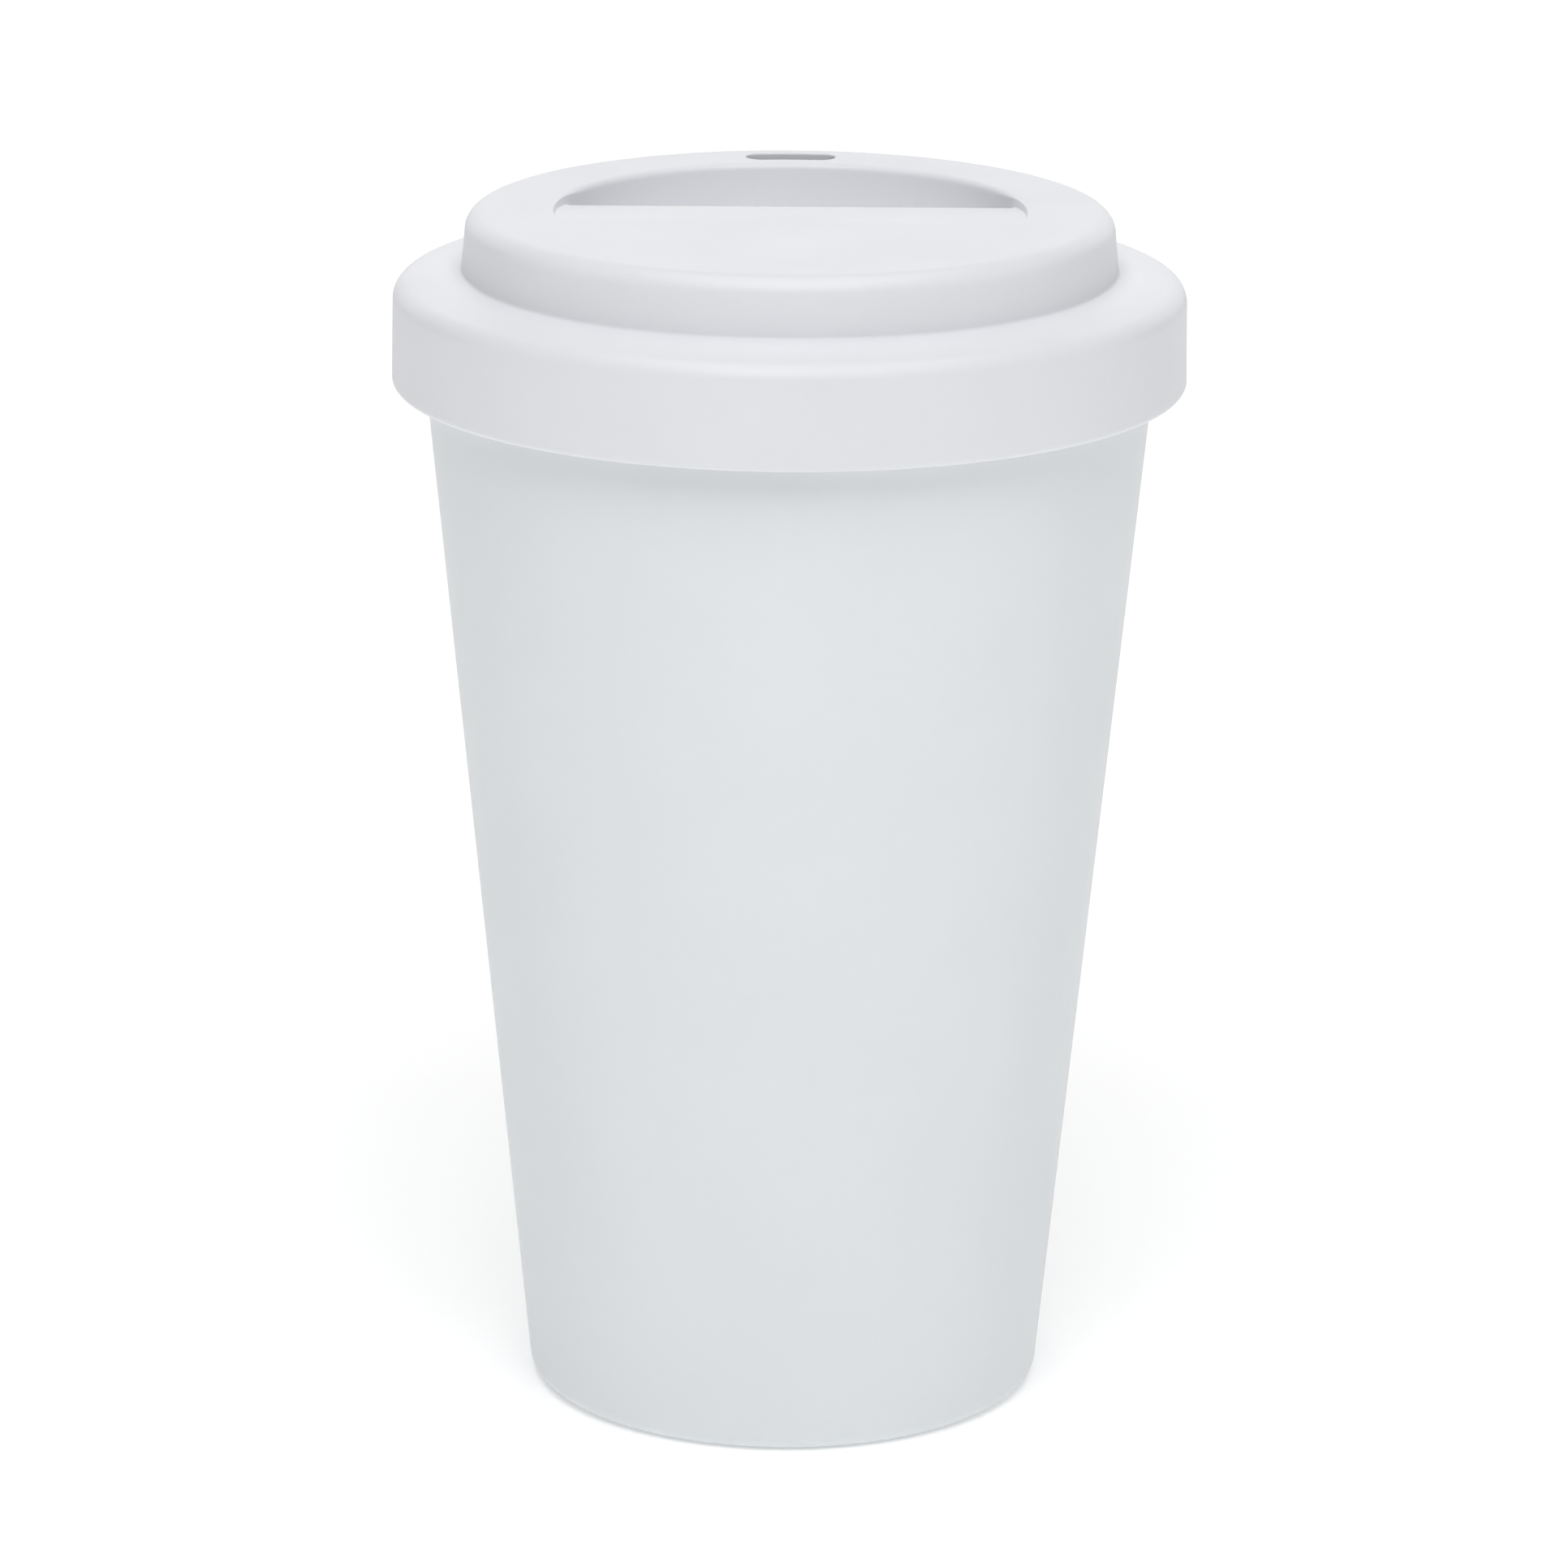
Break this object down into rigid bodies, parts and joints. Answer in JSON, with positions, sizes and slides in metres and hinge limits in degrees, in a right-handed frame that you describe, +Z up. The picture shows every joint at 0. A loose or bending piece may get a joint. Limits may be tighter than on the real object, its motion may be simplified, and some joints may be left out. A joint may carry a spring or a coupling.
{
  "type": "reusable takeaway cup with sip lid",
  "caption": "Plain white reusable coffee cup: a tapered double-wall body and a wide-skirted twist-on lid with a half-moon lip recess and a sip slot.",
  "frame": {"origin": "centre of the foot, on the plane that the cup stands on", "axes": "+Z up along the cup's axis, +Y towards the sip slot"},
  "size_m": [0.092, 0.092, 0.1413],
  "materials": {
    "shell_plastic": "satin white",
    "liner_plastic": "satin white, smoother than the outside",
    "lid_plastic": "satin white",
    "seal_silicone": "translucent white silicone"
  },
  "bodies": {
    "cup": {"outer_shell": "shell_plastic", "inner_liner": "liner_plastic"},
    "seal": {"lid_seal": "seal_silicone"},
    "lid": {"lid_cap": "lid_plastic"}
  },
  "joints": [
    {"name": "lid_rise", "type": "slide", "parent": "cup", "child": "seal", "axis": [0, 0, 1], "range_m": [0, 0.024]},
    {"name": "lid_twist", "type": "hinge", "parent": "seal", "child": "lid", "pos_m": [0, 0, 0.1269], "axis": [0, 0, 1], "range_deg": [0, 540]}
  ],
  "couplings": [
    {"joint": "lid_rise", "follows": "lid_twist", "m_per_rad": 0.0025465}
  ]
}
